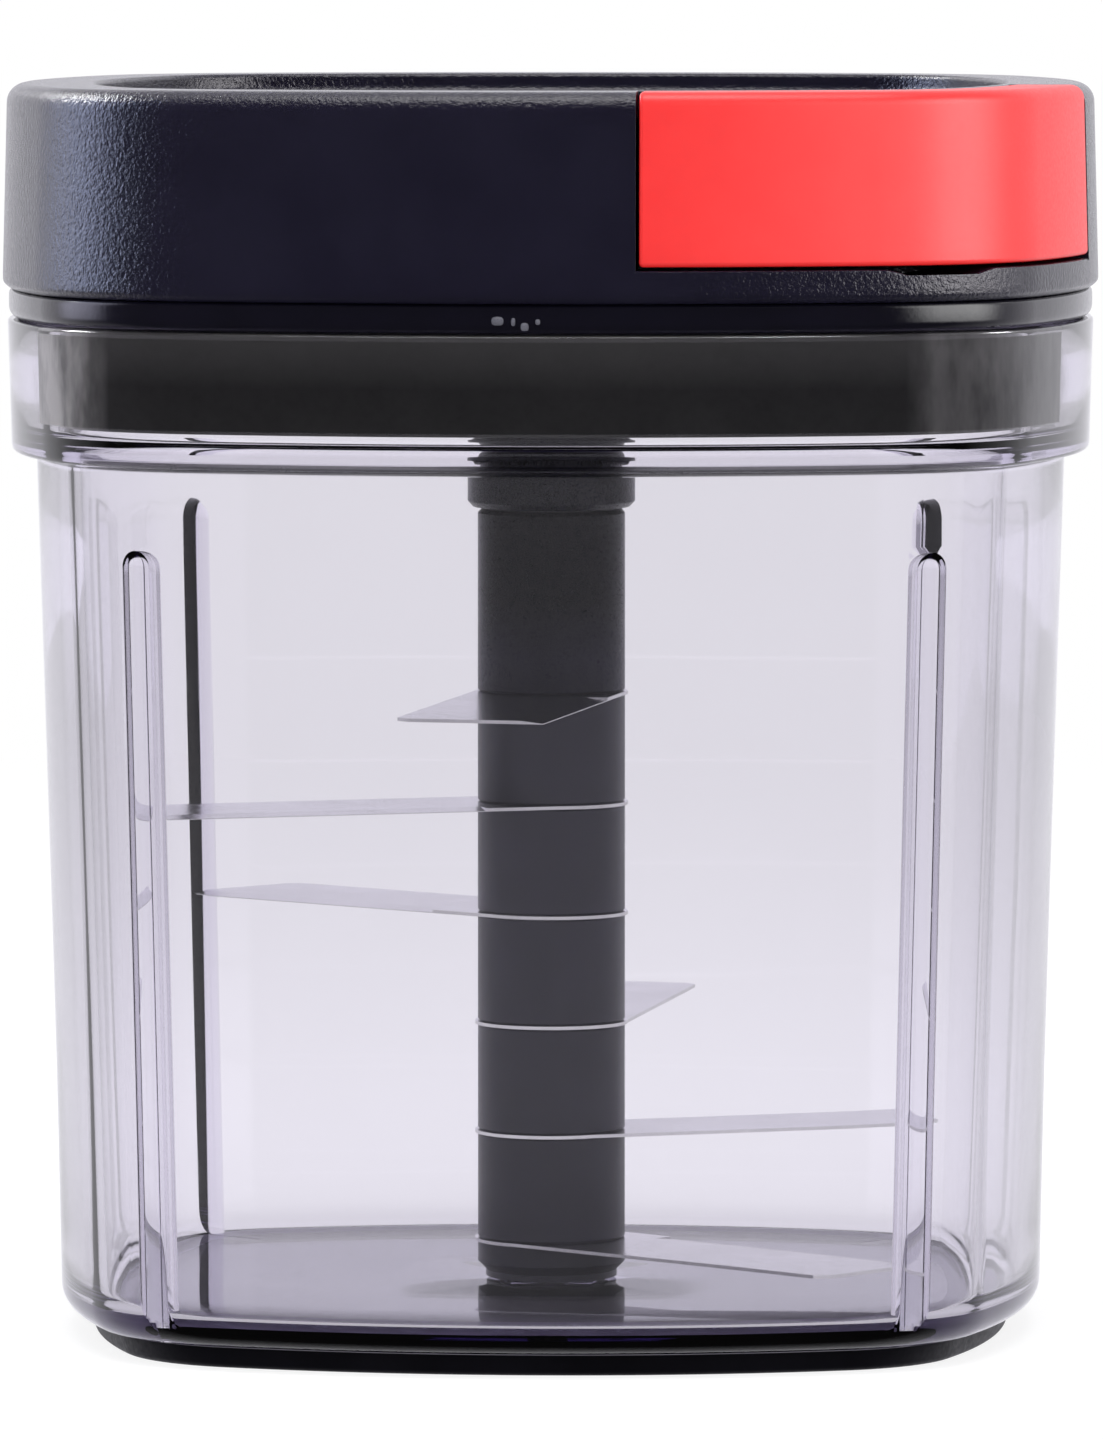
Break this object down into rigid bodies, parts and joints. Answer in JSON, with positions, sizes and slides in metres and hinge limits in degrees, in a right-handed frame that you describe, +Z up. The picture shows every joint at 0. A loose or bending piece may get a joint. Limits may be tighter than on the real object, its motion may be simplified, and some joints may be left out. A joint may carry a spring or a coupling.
{
  "type": "pull-cord food chopper",
  "caption": "Hand food chopper: clear rounded-square bowl, black lid with a pull handle on a cord, and a tall rotor of thin flat blades driven through a ratchet.",
  "frame": {"origin": "centre of the base's underside, on the rotor's axis", "axes": "+Z up along the rotor axis; the front faces -Y; the pull handle is at the corner between +X and -Y"},
  "size_m": [0.13, 0.13, 0.148],
  "materials": {
    "clear_plastic": "clear moulded styrene, polished",
    "base_rubber": "matte black elastomer",
    "seal_rubber": "matte dark olive-grey elastomer",
    "lid_plastic": "near-black, fine moulded grain",
    "chassis_plastic": "near-black, polished neck ring",
    "red_plastic": "semi-gloss red",
    "shaft_plastic": "dark grey, satin",
    "blade_steel": "thin rolled stainless, ground edge",
    "core_steel": "turned stainless",
    "bearing_plastic": "natural acetal",
    "mechanism_plastic": "natural acetal",
    "fastener_steel": "zinc-plated",
    "spring_steel": "blued strip",
    "cord": "braided nylon"
  },
  "bodies": {
    "bowl": {"bowl": "clear_plastic", "base_pad": "base_rubber", "spindle_pin": "core_steel"},
    "lid": {"lid_cover": "lid_plastic", "lid_chassis": "chassis_plastic", "seal_band": "seal_rubber", "drive_bush": "bearing_plastic", "lid_screws": "fastener_steel", "spring_arbor": "mechanism_plastic", "arbor_washer": "fastener_steel", "arbor_screw": "fastener_steel", "clock_spring": "spring_steel", "cord_eyelet": "bearing_plastic", "cord_inner_run": "cord"},
    "foot_bush": {"foot_bush": "bearing_plastic"},
    "rotor": {"rotor_core": "core_steel", "end_cap": "shaft_plastic", "top_sleeve": "shaft_plastic", "spacer_1": "shaft_plastic", "spacer_2": "shaft_plastic", "spacer_3": "shaft_plastic", "spacer_4": "shaft_plastic", "spacer_5": "shaft_plastic", "blade_1": "blade_steel", "blade_2": "blade_steel", "blade_3": "blade_steel", "blade_4": "blade_steel", "blade_5": "blade_steel", "blade_6": "blade_steel"},
    "drive": {"drive_socket": "shaft_plastic", "ratchet_wheel": "mechanism_plastic", "drive_screw": "fastener_steel"},
    "drum": {"cord_drum": "mechanism_plastic", "pawl_pins": "fastener_steel", "cord_winding": "cord"},
    "pawl_1": {"pawl_1": "mechanism_plastic"},
    "pawl_2": {"pawl_2": "mechanism_plastic"},
    "handle": {"pull_handle": "red_plastic", "handle_back": "red_plastic", "handle_screws": "fastener_steel", "cord_knot": "cord", "cord_outer_run": "cord"}
  },
  "joints": [
    {"name": "lid_lift", "type": "slide", "parent": "bowl", "child": "lid", "axis": [0, 0, 1], "range_m": [0, 0.27]},
    {"name": "rotor_lift", "type": "slide", "parent": "bowl", "child": "foot_bush", "axis": [0, 0, 1], "range_m": [0, 0.135]},
    {"name": "rotor_spin", "type": "hinge", "parent": "foot_bush", "child": "rotor", "pos_m": [0, 0, 0.012], "axis": [0, 0, 1], "continuous": true},
    {"name": "drive_spin", "type": "hinge", "parent": "lid", "child": "drive", "pos_m": [0, 0, 0.112], "axis": [0, 0, 1], "continuous": true},
    {"name": "drum_spin", "type": "hinge", "parent": "lid", "child": "drum", "pos_m": [0, 0, 0.131], "axis": [0, 0, 1], "continuous": true},
    {"name": "pawl_1_swing", "type": "hinge", "parent": "drum", "child": "pawl_1", "pos_m": [0.01526, -0.00954, 0.123], "axis": [0, 0, -1], "range_deg": [0, 14], "stiffness_Nm_per_rad": 0.0005, "springref_deg": -5.73},
    {"name": "pawl_2_swing", "type": "hinge", "parent": "drum", "child": "pawl_2", "pos_m": [-0.01526, 0.00954, 0.123], "axis": [0, 0, -1], "range_deg": [0, 14], "stiffness_Nm_per_rad": 0.0005, "springref_deg": -5.73},
    {"name": "handle_pull", "type": "slide", "parent": "lid", "child": "handle", "axis": [0.7071, -0.7071, 0], "range_m": [0, 0.3], "stiffness_N_per_m": 10, "springref_m": -0.4}
  ],
  "couplings": [
    {"joint": "rotor_lift", "follows": "lid_lift", "ratio": 0.5},
    {"joint": "drum_spin", "follows": "handle_pull", "rad_per_m": 40},
    {"joint": "drive_spin", "follows": "handle_pull", "rad_per_m": 40},
    {"joint": "rotor_spin", "follows": "handle_pull", "rad_per_m": 40}
  ]
}
